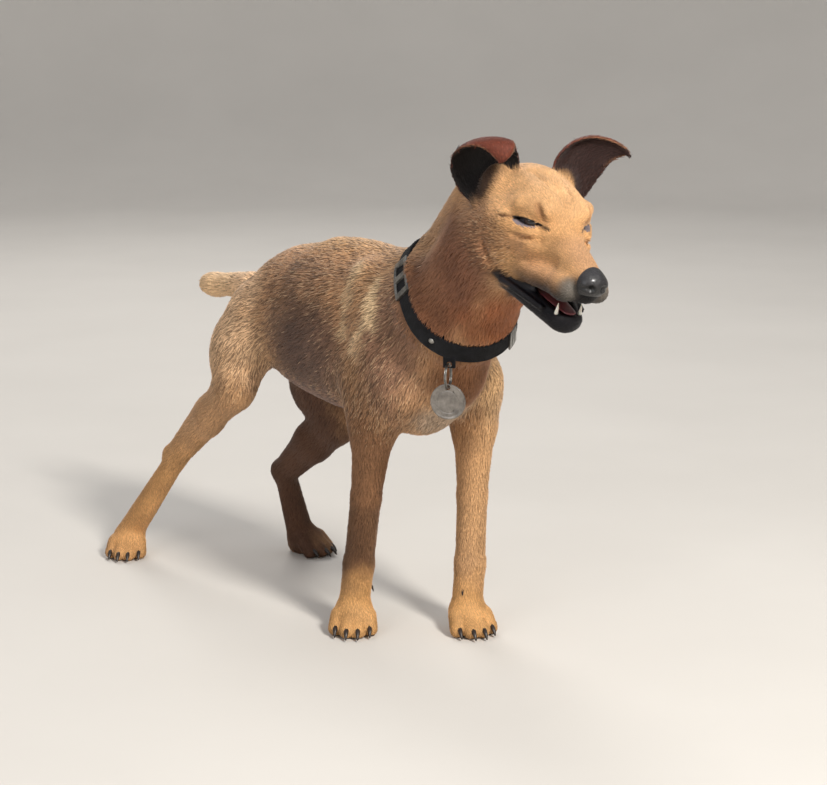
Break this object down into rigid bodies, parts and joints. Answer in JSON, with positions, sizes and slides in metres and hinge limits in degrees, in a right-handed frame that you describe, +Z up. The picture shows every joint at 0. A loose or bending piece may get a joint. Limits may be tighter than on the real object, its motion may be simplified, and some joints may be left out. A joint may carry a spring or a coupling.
{
  "type": "dog",
  "caption": "Slim short-coated young dog standing, head turned a little, mouth ajar, one ear tip folded, wearing a plain strap collar with a bare round tag.",
  "frame": {"origin": "on the floor, under the middle of the box round the whole dog", "axes": "+Z up, +X to the dog's left, +Y from its head to its tail; the dog faces -Y"},
  "size_m": [0.228, 0.714, 0.5052],
  "materials": {
    "coat_body": "short sable coat",
    "coat_tan": "short tan coat",
    "coat_paw": "very short pale coat",
    "coat_ear": "velvety dark coat",
    "nose": "moist, finely pebbled",
    "claw": "dark horn",
    "eye": "wet and clear",
    "tooth": "enamel",
    "tongue": "moist",
    "strap": "woven webbing",
    "metal": "worn nickel"
  },
  "bodies": {
    "root": {"canine_lower_left": "tooth", "canine_lower_right": "tooth", "claw_front_left_1": "claw", "claw_front_left_2": "claw", "claw_front_left_3": "claw", "claw_front_left_4": "claw", "claw_front_right_1": "claw", "claw_front_right_2": "claw", "claw_front_right_3": "claw", "claw_front_right_4": "claw", "claw_hind_left_1": "claw", "claw_hind_left_2": "claw", "claw_hind_left_3": "claw", "claw_hind_left_4": "claw", "claw_hind_right_1": "claw", "claw_hind_right_2": "claw", "claw_hind_right_3": "claw", "claw_hind_right_4": "claw", "collar_adjuster": "metal", "collar_buckle": "metal", "collar_rivet": "metal", "collar_strap": "strap", "dewclaw_left": "claw", "dewclaw_right": "claw", "ear_left": "coat_ear", "ear_right": "coat_ear", "eye_left": "eye", "eye_right": "eye", "foreleg_left": "coat_tan", "foreleg_right": "coat_tan", "head": "coat_tan", "lower_jaw": "coat_tan", "neck": "coat_tan", "nose": "nose", "paw_front_left": "coat_paw", "paw_front_right": "coat_paw", "paw_hind_left": "coat_paw", "paw_hind_right": "coat_paw", "shank_left": "coat_tan", "shank_right": "coat_tan", "tag": "metal", "tag_ring": "metal", "tail": "coat_tan", "thigh_left": "coat_tan", "thigh_right": "coat_tan", "tongue": "tongue", "trunk": "coat_body"}
  },
  "joints": []
}
